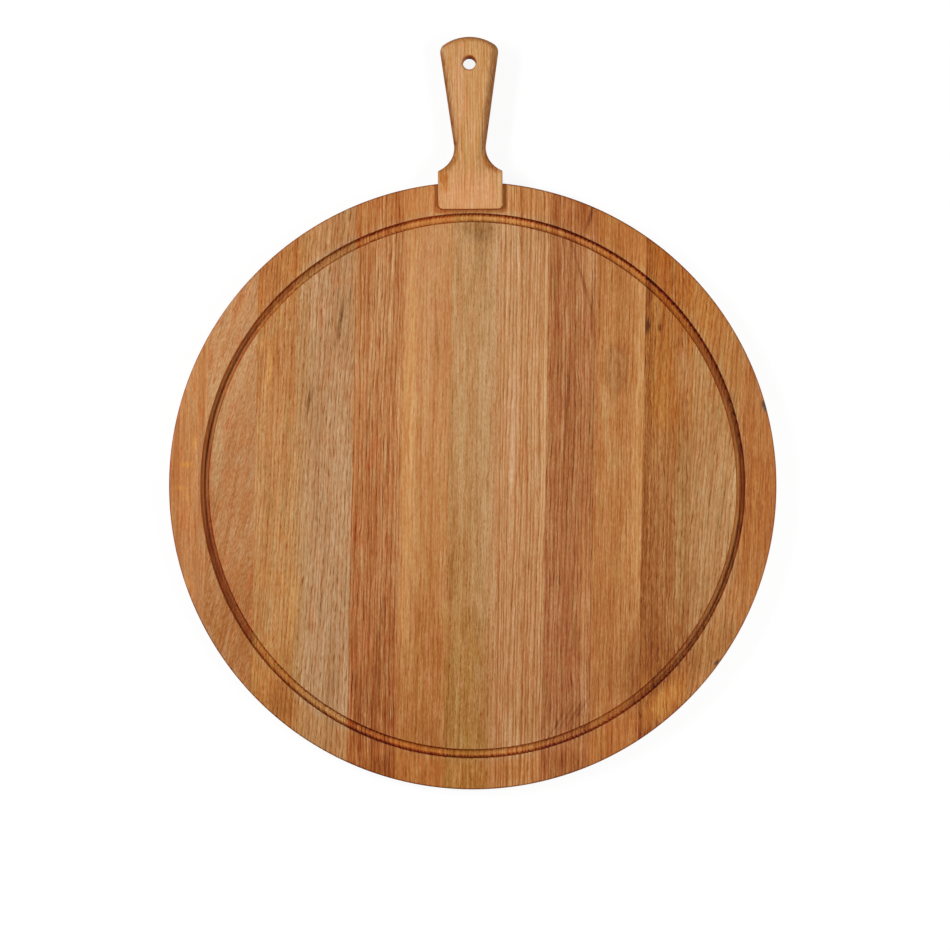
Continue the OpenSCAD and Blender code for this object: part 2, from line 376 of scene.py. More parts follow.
def wood_noise(tree, place, size, shift, detail):
    """Noise about zero, mostly from -1 to 1, whose blobs have this size across, along and through"""
    scale = [1 / side for side in size]
    start = (shift, 1.7 * shift, 0.6 * shift)
    point = add(tree, "ShaderNodeMapping", {"Vector": place, "Scale": scale, "Location": start})
    inputs = {"Vector": point, "Scale": 1.0, "Detail": detail, "Roughness": noise_rough}
    cloud = add(tree, "ShaderNodeTexNoise", inputs)
    inputs = {0: cloud, 1: noise_gain, 2: -noise_gain / 2}
    return add(tree, "ShaderNodeMath", inputs, operation="MULTIPLY_ADD")


def growth(tree, where, seed, middle, turn, look):
    """Places in the sawn piece, how far they lie along it, the same places as the grain bends them, and
    how much of the wood there is early wood"""
    inputs = {"Vector": where, "Rotation": (0, 0, turn), "Location": (-middle, 0, 0)}
    place = add(tree, "ShaderNodeMapping", inputs)
    parts = add(tree, "ShaderNodeSeparateXYZ", {"Vector": place}).outputs
    across, along, depth = parts["X"], parts["Y"], parts["Z"]

    # Grain lines lean, sway and ripple sideways, and all that follows them moves with them
    bent = add(tree, "ShaderNodeMath", {0: along, 1: look["slant"], 2: across}, operation="MULTIPLY_ADD")
    for size, amount, detail in (
        (sway_size, look["sway"], 1),
        (ripple_size, look["ripple"], 1.5),
        (quiver_size, 0.5 * look["ripple"], 0.5),
    ):
        wave = wood_noise(tree, place, size, seed + detail, detail)
        bent = add(tree, "ShaderNodeMath", {0: wave, 1: amount * mm, 2: bent}, operation="MULTIPLY_ADD")
    grain = add(tree, "ShaderNodeCombineXYZ", {"X": bent, "Y": along, "Z": depth})

    # Distance from the tree's pith, counted in growth rings of uneven width
    pith_x, pith_z = (side * mm for side in look["pith"])
    from_x = add(tree, "ShaderNodeMath", {0: bent, 1: pith_x}, operation="SUBTRACT")
    from_z = add(tree, "ShaderNodeMath", {0: depth, 1: pith_z}, operation="SUBTRACT")
    radius = add(tree, "ShaderNodeCombineXYZ", {"X": from_x, "Y": from_z})
    radius = add(tree, "ShaderNodeVectorMath", {0: radius}, operation="LENGTH")
    uneven = wood_noise(tree, grain, uneven_size, seed + 9, 0.0)
    rings = add(tree, "ShaderNodeMath", {0: radius, 1: 1 / (look["ring_w"] * mm)}, operation="MULTIPLY")
    rings = add(tree, "ShaderNodeMath", {0: uneven, 1: ring_stray, 2: rings}, operation="MULTIPLY_ADD")
    ring = add(tree, "ShaderNodeMath", {0: rings}, operation="FRACT")
    early = add(tree, "ShaderNodeValToRGB", {"Fac": ring})
    ramp = early.color_ramp
    ramp.interpolation = "EASE"
    for position, level in ring_levels:
        ramp.elements.new(position).color = (level, level, level, 1)
    for element in (ramp.elements[0], ramp.elements[-1]):
        element.color = (ring_join, ring_join, ring_join, 1)
    return place, along, grain, early


def blended(tree, colour, field, edge, share, text):
    """The colour, with another laid over it by this share where the field passes the edge"""
    inputs = {"Value": field, "From Min": edge[0], "From Max": edge[1], "To Max": share}
    amount = add(tree, "ShaderNodeMapRange", inputs, interpolation_type="SMOOTHSTEP")
    inputs = {"Factor": amount, "A": colour, "B": srgb(text)}
    return add(tree, "ShaderNodeMix", inputs, data_type="RGBA")


def wood_colour(tree, seed, place, along, grain, look):
    """The colour of the wood, before its density deepens it"""
    # Colour drifts in patches, and from one end of the piece to the other
    drift = wood_noise(tree, place, drift_size, seed + 4, 1.0)
    drift = add(tree, "ShaderNodeMath", {0: drift, 1: drift_spread, 2: along}, operation="MULTIPLY_ADD")
    warm = wood_noise(tree, grain, warm_size, seed + 2, 2.0)
    cool = wood_noise(tree, grain, cool_size, seed + 3, 2.0)
    colour = srgb(look["main"])
    colour = blended(tree, colour, drift, high_edge, look["fade"], look["high"])
    colour = blended(tree, colour, drift, low_edge, look["fade"], look["low"])
    colour = blended(tree, colour, warm, patch_edge, look["warm_share"], look["warm"])
    colour = blended(tree, colour, cool, patch_edge, look["cool_share"], look["cool"])

    # Knots, streaks and stains lie at their own places and have ragged edges
    ragged = wood_noise(tree, grain, ragged_size, seed + 6, 2.0)
    ragged = add(tree, "ShaderNodeMath", {0: ragged, 1: mark_ragged, 2: 1.0}, operation="MULTIPLY_ADD")
    for x, y, half_w, half_l, tone, share, lean in look["marks"]:
        inputs = {
            "Vector": place, "Location": (x * mm, y * mm, board_t), "Rotation": (0, 0, math.radians(lean)),
            "Scale": (half_w * mm, half_l * mm, look["mark_deep"] * mm),
        }
        spot = add(tree, "ShaderNodeMapping", inputs, vector_type="TEXTURE")
        spot = add(tree, "ShaderNodeVectorMath", {0: spot}, operation="LENGTH")
        spot = add(tree, "ShaderNodeMath", {0: spot, 1: ragged}, operation="MULTIPLY")
        colour = blended(tree, colour, spot, mark_edge, share, tone)
    return colour


def wood_density(tree, seed, place, grain, early, look):
    """Density, which deepens the colour, with the pores and fibres that the relief needs too"""
    # Pores are crowded in early wood
    pores = wood_noise(tree, grain, (pore_w, look["pore_l"] * mm, pore_w), seed + 8, 1.0)
    inputs = {"Value": pores, "From Min": pore_edge[0], "From Max": pore_edge[1]}
    pores = add(tree, "ShaderNodeMapRange", inputs, interpolation_type="SMOOTHSTEP")
    crowd = {0: early, 1: 1 - late_pores, 2: late_pores}
    crowd = add(tree, "ShaderNodeMath", crowd, operation="MULTIPLY_ADD")
    pores = add(tree, "ShaderNodeMath", {0: pores, 1: crowd}, operation="MULTIPLY")

    # Rays and fibres are single dark lines on an even ground, so their noise is cut off below
    inputs = {"Vector": place, "Rotation": (0, 0, math.radians(look["fleck_lean"]))}
    rays = add(tree, "ShaderNodeMapping", inputs)
    rays = wood_noise(tree, rays, ray_size, seed + 7, 1.0)
    rays = add(tree, "ShaderNodeMath", {0: rays, 1: even_ground, 2: ground_soft}, operation="SMOOTH_MAX")
    fibres = wood_noise(tree, grain, (fibre_w, look["fibre_l"] * mm, fibre_w), seed + 11, 2.0)
    fibres = {0: fibres, 1: even_ground, 2: ground_soft}
    fibres = add(tree, "ShaderNodeMath", fibres, operation="SMOOTH_MAX")

    # Bands and threads run the length of the grain, and grit is the finest unevenness
    band_w = look["band_w"] * mm
    bands = wood_noise(tree, grain, (band_w, band_l, band_w), seed + 12, 2.0)
    threads = wood_noise(tree, grain, (thread_w, thread_l, thread_w), seed + 13, 1.0)
    grit = wood_noise(tree, grain, grit_size, seed + 14, 1.0)
    density = 1.0
    for pattern, key in (
        (bands, "bands"), (threads, "threads"), (grit, "grit"), (fibres, "fibres"), (early, "rings"),
        (rays, "flecks"), (pores, "pores"),
    ):
        inputs = {0: pattern, 1: look[key], 2: density}
        density = add(tree, "ShaderNodeMath", inputs, operation="MULTIPLY_ADD")
    mean = sum(level * look[key] for key, level in pattern_means.items())
    density = add(tree, "ShaderNodeMath", {0: density, 1: mean}, operation="SUBTRACT")
    return density, pores, fibres


def oiled_and_shaded_faces(tree, where, turn, look):
    """Extra density by the way that a face looks: painted shade on steep walls and on faces that look one
    way, and the darker open end grain
    """
    facing = add(tree, "ShaderNodeNewGeometry").outputs["Normal"]
    grain_way = (math.sin(turn), math.cos(turn), 0)
    side_shade_way = (math.cos(side_shade_turn), math.sin(side_shade_turn), 0)

    # Steep faces, such as the groove's walls, the rim and the handle's round-overs, get painted shade. End
    # grain drinks the most oil and is darker. Faces that look towards the lower left get painted shade too.
    darkening = []
    for way, both_ways, edge, share in (
        ((0, 0, 1), True, wall_shade_edge, look["wall_shade"]),
        (grain_way, True, end_edge, end_soak),
        (side_shade_way, False, side_shade_edge, side_shade),
    ):
        faced = add(tree, "ShaderNodeVectorMath", {0: facing, 1: way}, operation="DOT_PRODUCT")
        if both_ways:
            faced = add(tree, "ShaderNodeMath", {0: faced}, operation="ABSOLUTE")
        inputs = {"Value": faced, "From Min": edge[0], "From Max": edge[1], "To Max": share}
        darkening.append(add(tree, "ShaderNodeMapRange", inputs, interpolation_type="SMOOTHSTEP"))
    wall, end_grain, side_shaded = darkening

    # End grain and side shade are darkened less on faces that look outwards, such as the rim
    outward = add(tree, "ShaderNodeVectorMath", {0: where}, operation="NORMALIZE")
    outward = add(tree, "ShaderNodeVectorMath", {0: outward, 1: facing}, operation="DOT_PRODUCT")
    inputs = {
        "Value": outward, "From Min": outward_edge[0], "From Max": outward_edge[1],
        "To Min": 1.0, "To Max": look["outward_darkening"],
    }
    outward = add(tree, "ShaderNodeMapRange", inputs, interpolation_type="SMOOTHSTEP")
    end_grain_and_shade = add(tree, "ShaderNodeMath", {0: end_grain, 1: side_shaded}, operation="ADD")
    end_grain_and_shade = add(tree, "ShaderNodeMath", {0: end_grain_and_shade, 1: outward}, operation="MULTIPLY")
    return wall, end_grain_and_shade


def wear_and_painted_light(tree, where, look):
    """The tint of the rim, the painted bounce light in the groove, the groove's hollow, and the painted
    shadow round the tongue
    """
    parts = add(tree, "ShaderNodeSeparateXYZ", {"Vector": where}).outputs
    upper = add(tree, "ShaderNodeMath", {0: parts["Z"], 1: board_t / 2}, operation="GREATER_THAN")

    # The rim is handled and oiled more than the middle
    beside = add(tree, "ShaderNodeVectorMath", {0: where, 1: (1, 1, 0)}, operation="MULTIPLY")
    beside = add(tree, "ShaderNodeVectorMath", {0: beside}, operation="LENGTH")
    beside = add(tree, "ShaderNodeMath", {0: beside, 1: groove_r}, operation="SUBTRACT")
    inputs = {"Value": beside, "From Min": rim_edge[0], "From Max": rim_edge[1], "To Max": look["warm_rim"]}
    rim = add(tree, "ShaderNodeMapRange", inputs, interpolation_type="SMOOTHSTEP")
    inputs = {"Factor": rim, "A": (1, 1, 1, 1), "B": (*rim_tint, 1)}
    tint = add(tree, "ShaderNodeMix", inputs, data_type="RGBA")

    # Light in the groove has bounced off warm wood
    hollow = add(tree, "ShaderNodeMath", {0: beside}, operation="ABSOLUTE")
    inputs = {"Value": hollow, "From Min": hollow_edge[0], "From Max": hollow_edge[1]}
    hollow = add(tree, "ShaderNodeMapRange", inputs, interpolation_type="SMOOTHSTEP")
    hollow = add(tree, "ShaderNodeMath", {0: hollow, 1: upper}, operation="MULTIPLY")
    inputs = {"Factor": hollow, "A": tint, "B": (*groove_tint, 1)}
    tint = add(tree, "ShaderNodeMix", inputs, data_type="RGBA")

    # Painted shadow: the board is darkened beside the handle's tongue, where the tongue shades it
    out_x = add(tree, "ShaderNodeMath", {0: parts["X"]}, operation="ABSOLUTE")
    out_x = add(tree, "ShaderNodeMath", {0: out_x, 1: base_w / 2}, operation="SUBTRACT")
    out_y = add(tree, "ShaderNodeMath", {0: board_r - base_in, 1: parts["Y"]}, operation="SUBTRACT")
    outside = add(tree, "ShaderNodeCombineXYZ", {"X": out_x, "Y": out_y})
    outside = add(tree, "ShaderNodeVectorMath", {0: outside, 1: (0, 0, 0)}, operation="MAXIMUM")
    outside = add(tree, "ShaderNodeVectorMath", {0: outside}, operation="LENGTH")
    inputs = {
        "Value": outside, "From Min": tongue_shadow_edge[0], "From Max": tongue_shadow_edge[1], "To Max": look["corner"],
    }
    corner = add(tree, "ShaderNodeMapRange", inputs, interpolation_type="SMOOTHSTEP")
    corner = add(tree, "ShaderNodeMath", {0: corner, 1: upper}, operation="MULTIPLY")
    return tint, hollow, corner


def bare_material(name):
    """A new material and its tree, without any nodes"""
    material = bpy.data.materials.new(name)
    material.use_nodes = True
    material.node_tree.nodes.clear()
    return material, material.node_tree


def oak(name, seed, middle, turn, look):
    """Oiled oak for one piece, whose grain runs along Y after the turn, with the piece's own look"""
    look = {**plain_oak, **look}
    material, tree = bare_material(name)
    where = add(tree, "ShaderNodeTexCoord").outputs["Object"]
    place, along, grain, early = growth(tree, where, seed, middle, turn, look)
    colour = wood_colour(tree, seed, place, along, grain, look)
    density, pores, fibres = wood_density(tree, seed, place, grain, early, look)
    wall, end_grain_and_shade = oiled_and_shaded_faces(tree, where, turn, look)
    tint, hollow, corner = wear_and_painted_light(tree, where, look)

    # Early wood tears out of open end grain, where the painted side shade deepens as well. The walls'
    # painted shade, the painted shadow round the tongue and painted shade in the groove add to the density
    torn = add(tree, "ShaderNodeMath", {0: end_grain_and_shade, 1: early}, operation="MULTIPLY")
    density = add(tree, "ShaderNodeMath", {0: torn, 1: look["torn"], 2: density}, operation="MULTIPLY_ADD")
    groove_shade = add(tree, "ShaderNodeMath", {0: hollow, 1: look["painted_groove_shade"]}, operation="MULTIPLY")
    for layer in (wall, end_grain_and_shade, corner, groove_shade):
        density = add(tree, "ShaderNodeMath", {0: density, 1: layer}, operation="ADD")
    colour = add(tree, "ShaderNodeGamma", {"Color": colour, "Gamma": density})
    colour = add(tree, "ShaderNodeVectorMath", {0: colour, 1: tint}, operation="MULTIPLY")

    # On a sanded face pores lie open, and early wood and loose fibres are worn a little lower
    relief = 0.0
    for layer, dip in ((pores, pore_dip), (early, early_dip), (fibres, fibre_dip)):
        relief = add(tree, "ShaderNodeMath", {0: layer, 1: -dip, 2: relief}, operation="MULTIPLY_ADD")
    inputs = {"Height": relief, "Strength": relief_share, "Distance": relief_deep}
    bump = add(tree, "ShaderNodeBump", inputs)
    rough = add(tree, "ShaderNodeMath", {0: pores, 1: pore_rough, 2: oak_rough}, operation="MULTIPLY_ADD")
    rough = add(tree, "ShaderNodeMath", {0: wall, 1: wall_rough, 2: rough}, operation="MULTIPLY_ADD")
    surface = add(tree, "ShaderNodeBsdfPrincipled", {
        "Base Color": colour, "Roughness": rough, "IOR": oak_ior, "Specular IOR Level": oak_gloss,
        "Normal": bump,
    })
    add(tree, "ShaderNodeOutputMaterial", {"Surface": surface})
    return material


# The thirteen staves from left to right, with their streaks, stains and knots, the two dark nicks in
# the rim of the last two, and painted shade in the groove of the first, second and twelfth
stave_looks = [
    # 1: smooth orange tan with golden rays at the rim
    {
        "main": "#B77A48", "warm": "#BC763F", "cool": "#B38656", "low": "#AB7850", "fade": 0.9,
        "ripple": 0.6, "rings": 0.1, "bands": 0.35, "fibres": 0.35, "pores": 0.2, "painted_groove_shade": 0.1,
        "marks": (
            (4, 15, 6, 3.5, "#CE9040", 0.7, 0), (-2, -7, 6, 2.5, "#C88C42", 0.6, 0),
            (4, -14, 2, 6, "#CC8E42", 0.6, 15), (11, 36, 2.5, 9, "#D0934A", 0.6, 0),
            (7, -95, 3, 7, "#CA8C42", 0.5, 20),
        ),
    },
    # 2: pinkish tan with the slanting silk of a quarter-sawn stave
    {
        "main": "#B47743", "warm": "#B9723E", "cool": "#B68457", "high": "#C18C5A", "low": "#A86B34",
        "warm_share": 0.9, "cool_share": 0.8, "fade": 0.8, "slant": -0.2, "rings": 0.05, "fibres": 0.2,
        "pores": 0.15, "flecks": 0.4, "painted_groove_shade": 0.45, "warm_rim": 0.3,
        "marks": (
            (-13, 40, 8, 62, "#BE9464", 0.6, 0),
        ),
    },
    # 3: golden brown with fine short pores and yellow streaks
    {
        "main": "#B67A43", "warm": "#BC7837", "cool": "#A87D45", "high": "#AE6A32", "low": "#B3753B",
        "fade": 0.8, "slant": -0.04, "rings": 0.2, "pores": 0.6, "pore_l": 6,
        "marks": (
            (20, 0, 6, 600, "#AE804F", 0.6, 0), (5, -208, 18, 24, "#985A24", 0.7, 0),
            (-7, 190, 15, 26, "#A2612C", 0.7, 0), (4, 212, 16, 14, "#A2612C", 0.4, 0),
            (-8, 66, 12, 46, "#C89057", 0.5, 0), (-11, 102, 3, 22, "#D2934A", 0.7, -5),
            (15, -114, 5, 38, "#CE9656", 0.6, -4),
        ),
    },
    # 4: greyish tan with strong dark pores
    {
        "main": "#B27E50", "warm": "#B87948", "cool": "#A98256", "high": "#B07A4A", "low": "#AB7C50",
        "slant": -0.04, "sway": 3, "ripple": 1.1, "rings": 0.25, "pores": 0.8, "pore_l": 10,
        "marks": (
            (-20, 0, 4, 600, "#B17C46", 0.5, 0), (-19, 162, 6, 34, "#AC7440", 0.6, 0),
            (9, 149, 2.2, 24, "#7C4A20", 0.8, -9), (-19, 74, 2, 17, "#7C4A20", 0.8, -8),
            (-15, 190, 9, 48, "#A66A38", 0.5, 0),
        ),
    },
    # 5: reddish brown with contrasting streaks and a deep lower half
    {
        "main": "#B06C37", "warm": "#B4622F", "cool": "#AC7843", "high": "#B16D37", "low": "#9A501D",
        "warm_share": 0.5, "cool_share": 0.4, "fade": 0.9, "ripple": 0.9, "rings": 0.35, "bands": 0.3,
        "fibre_l": 28, "pores": 0.8, "pore_l": 20,
        "marks": (
            (-3, 168, 14, 34, "#AA6833", 0.7, 0), (20, 75, 3, 40, "#CE8E54", 0.6, 0),
            (6, -155, 2.2, 66, "#7C3C0F", 0.7, -1), (-8, 60, 1.6, 50, "#8A4A1A", 0.6, -4),
            (10, 20, 1.5, 40, "#8A4A1A", 0.5, -5), (-8, -212, 13, 30, "#8A4618", 0.6, 0),
            (6, -262, 20, 13, "#854010", 0.8, 0),
        ),
    },
    # 6: light gold with a pale left edge and a pink middle
    {
        "main": "#BD7E45", "warm": "#BE7845", "cool": "#BA8445", "high": "#C3844E", "low": "#AA652B",
        "fade": 0.9, "rings": 0.15, "fibres": 0.35, "pores": 0.3,
        "marks": (
            (-15, 60, 7, 200, "#D69A5C", 0.6, 0), (10, 130, 1.6, 26, "#935D2A", 0.6, 2),
            (5, -234, 18, 26, "#9E5A20", 0.5, 0), (-19, -120, 5, 34, "#CC8A4E", 0.6, 0),
            (-12, -241, 9, 12, "#B06C2E", 0.6, 0),
        ),
    },
    # 7: olive tan, fine above and speckled below
    {
        "main": "#B7824D", "warm": "#BC804B", "cool": "#AC8045", "high": "#BE8A56", "low": "#A36929",
        "fade": 0.9, "rings": 0.1, "pores": 0.45, "pore_l": 4,
        "marks": (
            (4, 233, 12, 9, "#7E5223", 0.5, 0), (2, 240, 22, 8, "#8C561E", 0.6, 0),
            (4, 215, 6, 24, "#94642E", 0.4, 0), (20, 0, 5, 600, "#BB8050", 0.6, 0),
            (10, 40, 9, 220, "#C09464", 0.5, 0), (-12, -228, 10, 26, "#9E6428", 0.5, 0),
            (-16, -131, 8, 28, "#BA8349", 0.6, 0), (18, 237, 6, 16, "#AE7540", 0.6, 0),
        ),
    },
    # 8: light pinkish tan with sharp parallel lines and a light right edge
    {
        "main": "#BB7E49", "warm": "#C07E4D", "cool": "#B4804F", "high": "#BF844E", "low": "#B0723F",
        "fade": 0.7, "ripple": 0.6, "rings": 0.45, "threads": 0.12, "pores": 0.45, "pore_l": 18,
        "marks": (
            (20, 80, 3, 210, "#CE9863", 0.8, 0), (0, -264, 24, 13, "#A8662E", 0.7, 0),
            (-9, 60, 6, 70, "#D09C6E", 0.5, 0), (15, 240, 9, 16, "#AC7040", 0.7, 0),
            (8, -214, 13, 26, "#A96933", 0.6, 0),
        ),
    },
    # 9: dark reddish brown with dark streaks
    {
        "main": "#A66332", "warm": "#A85C2F", "cool": "#A06A34", "high": "#A86331", "low": "#A46036",
        "sway": 3, "ripple": 0.9, "bands": 0.22, "fibre_l": 32, "pores": 0.8, "pore_l": 24,
        "marks": (
            (0, -256, 24, 13, "#8E4A1A", 0.6, 0), (14, 250, 2, 14, "#743810", 0.9, -16),
            (2, -214, 26, 19, "#965424", 0.6, 0), (-18, 225, 7, 22, "#A3622E", 0.6, 0),
            (-4, 103, 10, 26, "#9A5629", 0.5, 0), (15, -95, 7, 90, "#BC7A42", 0.6, 0),
            (14, 212, 7, 26, "#BE7E48", 0.7, 0), (-4, 68, 1.8, 58, "#7C380D", 0.7, -2),
            (3, 50, 1.5, 50, "#843F11", 0.6, -1), (10, 189, 1.6, 46, "#7E3C10", 0.6, 18),
            (-8, -220, 1.4, 17, "#7A3A12", 0.7, -30), (0, -215, 1.4, 20, "#7A3A12", 0.6, -30),
            (8, -211, 1.4, 18, "#7A3A12", 0.7, -30), (15, -205, 1.4, 15, "#7A3A12", 0.6, -30),
        ),
    },
    # 10: orange brown with fine slanting lines
    {
        "main": "#B47138", "warm": "#B86E35", "cool": "#B0783D", "high": "#B77339", "low": "#A8642D",
        "rings": 0.18, "fibre_l": 26, "pore_l": 14,
        "marks": (
            (18, 80, 6, 220, "#C6874A", 0.8, 0), (-8, 208, 13, 30, "#AE6A30", 0.7, 0),
            (2, -177, 14, 20, "#A4602A", 0.6, 0), (17, -172, 8, 44, "#8E4C1A", 0.6, 0),
            (-3, 111, 11, 25, "#884710", 0.8, 0), (-3, 112, 7, 18, "#C2854C", 1.0, 0),
            (-3, 111, 4.5, 13, "#8C4A14", 0.8, 0), (-3, 111, 2, 8, "#C2854C", 0.8, 0),
        ),
    },
    # 11: dark brown orange with two small knots
    {
        "main": "#A4632C", "warm": "#A85E27", "cool": "#9E6631", "high": "#AC611D", "low": "#904A14",
        "fade": 0.9, "ripple": 1.2, "rings": 0.25, "bands": 0.18, "pores": 0.6, "pore_l": 10,
        "marks": (
            (15, -30, 8, 120, "#A97A43", 0.6, 0), (13, 108, 9, 26, "#BC844C", 0.6, 0),
            (-12, -60, 14, 130, "#94521E", 0.5, 0), (-8, -166, 15, 34, "#84420E", 0.6, 0),
            (-19, 60, 6, 300, "#8C4810", 0.7, 0), (3, -196, 13, 34, "#BE7C36", 0.8, -47),
            (-20.5, 152, 4, 8, "#5A2606", 1.0, 0), (-20, 178, 2.5, 20, "#7A380B", 0.6, 0),
            (-9, 150, 2.2, 5, "#74360C", 1.0, 0), (-17, -184, 7, 18, "#A25C1E", 0.7, 0),
        ),
    },
    # 12: greyish green tan with wavy slanting pores
    {
        "main": "#B07844", "warm": "#B4743E", "cool": "#A97E49", "high": "#B6742F", "low": "#A86E3A",
        "fade": 0.4, "slant": -0.08, "sway": 4, "ripple": 1.1, "rings": 0.25, "fibres": 0.4, "pores": 0.6,
        "pore_l": 11, "painted_groove_shade": 0.3,
        "marks": (
            (19, -5, 4, 60, "#C69660", 0.6, 0), (12, -120, 1.2, 20, "#7E5430", 0.6, 0),
            (-6, 170, 20, 45, "#B4702C", 0.7, 0), (-2, -152, 14, 34, "#A06A34", 0.6, -55),
            (0, 148, 10, 18, "#BC8148", 0.6, 0), (-13, -96, 10, 22, "#A06733", 0.6, 0),
            (-15, -155, 8, 18, "#945722", 0.6, 0), (4.5, -160, 2, 4, "#54392A", 1.0, -35),
        ),
    },
    # 13: orange brown with fine even lines
    {
        "main": "#AA662C", "warm": "#AD6627", "cool": "#A66B33", "ripple": 0.6, "rings": 0.15,
        "bands": 0.15, "fibres": 0.55, "pores": 0.3, "pore_l": 14, "mark_deep": 6,
        "marks": (
            (-0.5, 79, 2.5, 7, "#54443A", 1.0, 16),
        ),
    },
]

# The patterns of each stave come from a place of their own in the noise
seed_step = 3.1
blank = lathe("turned_panel", panel_profile(), turning_steps)
tear_grain(blank)
pocket = pocket_cutter()
for number, (node, look) in enumerate(zip(stave_names, stave_looks)):
    places = number - (len(stave_names) - 1) / 2
    wood = oak("oiled_oak_" + node, seed_step * (number + 1), places * stave_w, grain_turn, look)
    stave = grown("turned_" + node, blank, stave_tree, {
        "Places From Middle": places, "Stave Width": stave_w, "Grain Turn": grain_turn,
        "Board Radius": board_r, "Board Thickness": board_t, "Pocket Cutter": pocket, "Material": wood,
    })
    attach(stave, "root")
    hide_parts(node)
bpy.data.objects.remove(pocket)

# Handle
# One piece of lighter oak, band-sawn to its outline. A router rounds the grip over and thins the base
# to a tongue that lies in the panel's pocket. The hanging hole and two pilot holes are drilled.
handle_t = 18 * mm
handle_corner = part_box("handle")[1]
handle_top = handle_corner.z
handle_bottom = handle_top - handle_t
handle_end = handle_corner.y
grip_half = 27 * mm
crown_r = 42 * mm
grip_corner_r = 8.5 * mm
grip_round = 7 * mm
neck_half = 14.75 * mm
neck_y = board_r + 32 * mm
flare_r = 24 * mm
shoulder_r = 2 * mm
base_round = 1.2 * mm
round_steps = 14
touching = 0.001 * mm
shoulder_gap = 0.2 * mm
hole_r = 6 * mm
hole_y = handle_end - 25 * mm
hole_round = 2.5 * mm
hole_round_steps = 10
hole_steps = 96
pilot_steps = 48
screw_l = 20 * mm


def handle_outline():
    """The handle's right side from its end to its tongue: place, outward direction and round-over"""
    crown = (0, handle_end - crown_r)
    corner_x = grip_half - grip_corner_r
    corner = (corner_x, crown[1] + math.sqrt((crown_r - grip_corner_r) ** 2 - corner_x ** 2))
    flare = (neck_half + flare_r, neck_y)
    shoulder_x = base_w / 2 - shoulder_r
    drop = math.sqrt((flare_r + shoulder_r) ** 2 - (flare[0] - shoulder_x) ** 2)
    shoulder = (shoulder_x, flare[1] - drop)
    tongue = (base_w / 2 - base_corner_r, board_r - base_in + base_corner_r)
    crown_turn = math.degrees(math.atan2(corner[1] - crown[1], corner[0]))
    reach = (flare[0] - corner[0], flare[1] - corner[1])
    flank_turn = math.degrees(math.atan2(reach[1], reach[0]))
    flank_turn += math.degrees(math.acos((grip_corner_r + flare_r) / math.hypot(*reach)))
    flare_end = 360 + math.degrees(math.atan2(shoulder[1] - flare[1], shoulder[0] - flare[0]))

    # Centre, radius, start and end in degrees, steps, and the round-over at both ends of each arc
    stretches = [
        (crown, crown_r, 90, crown_turn, 40, grip_round, grip_round),
        (corner, grip_corner_r, crown_turn, flank_turn, 24, grip_round, grip_round),
        (flare, -flare_r, flank_turn, flare_end - 180, 48, grip_round, base_round),
        (shoulder, shoulder_r, flare_end - 180, 0, 10, base_round, base_round),
        (tongue, base_corner_r, 0, -90, 14, base_round, base_round),
    ]
    points = []
    for centre, radius, start, end, steps, round_from, round_to in stretches:
        for k in range(steps + 1):
            turn = math.radians(start + (end - start) * k / steps)
            fade = (1 - math.cos(math.pi * k / steps)) / 2
            place = (centre[0] + radius * math.cos(turn), centre[1] + radius * math.sin(turn))
            if not points or math.dist(points[-1][0], place) > touching:
                points.append((place, turn, round_from + (round_to - round_from) * fade))
    return points


def handle_body():
    """The handle before the cuts: its outline at every height of the round-overs, closed by two faces"""
    right = handle_outline()
    left = [((-x, y), math.pi - turn, edge) for (x, y), turn, edge in reversed(right[1:])]
    outline = right + left
    turns = [math.pi / 2 * k / round_steps for k in range(round_steps + 1)]
    levels = [(turn, handle_bottom, -1) for turn in reversed(turns)]
    levels += [(turn, handle_top, 1) for turn in turns]
    mesh = bmesh.new()
    rings = []
    for rise, face_z, up in levels:
        ring = []
        for (x, y), turn, edge in outline:
            inset = edge * (1 - math.cos(rise))
            height = face_z - up * edge * (1 - math.sin(rise))
            ring.append(mesh.verts.new((x - inset * math.cos(turn), y - inset * math.sin(turn), height)))
        rings.append(ring)
    count = len(outline)
    for lower, upper in zip(rings, rings[1:]):
        for k in range(count):
            mesh.faces.new((lower[k], upper[k], upper[(k + 1) % count], lower[(k + 1) % count]))
    mesh.faces.new(rings[0])
    mesh.faces.new(reversed(rings[-1]))
    bmesh.ops.recalc_face_normals(mesh, faces=mesh.faces)
    return finished("handle_blank", mesh)


def handle_cutter():
    """The rim's hollow, the hanging hole with its eased edges, and the two pilot holes"""
    rim_r = board_r + shoulder_gap
    rim = lathe("rim", [(rim_r, -overrun), (rim_r, pocket_floor_t)], turning_steps // 2)
    eased_r = hole_r + hole_round
    bore = [(eased_r, handle_bottom - overrun)]
    bore += arc((eased_r, handle_bottom + hole_round), hole_round, 270, 180, hole_round_steps)
    bore += arc((eased_r, handle_top - hole_round), hole_round, 180, 90, hole_round_steps)
    bore += [(eased_r, handle_top + overrun)]
    hole = lathe("hole", bore, hole_steps)
    pilot_r = screw_r + screw_gap
    pilot_top = screw_sink + screw_l + screw_gap
    pilot = lathe("pilot", [(pilot_r, pocket_floor_t - overrun), (pilot_r, pilot_top)], pilot_steps)
    mesh = bmesh.new()
    add_copy(mesh, rim, 0, 0)
    add_copy(mesh, hole, 0, hole_y)
    for side in (-1, 1):
        add_copy(mesh, pilot, side * screw_x, screw_y)
    return new_object("handle_cutter", finished("handle_cutter", mesh))


handle_tree, given = tree_with("cut_handle", {"Cutter": "Object", "Material": "Material"})
tool = add(handle_tree, "GeometryNodeObjectInfo", {"Object": given["Cutter"]})
body = {"Mesh 1": given["Geometry"]}
cut = add(handle_tree, "GeometryNodeMeshBoolean", body, operation="DIFFERENCE", solver="MANIFOLD")
handle_tree.links.new(tool.outputs["Geometry"], cut.inputs["Mesh 2"])
finish_tree(handle_tree, cut, given["Material"])
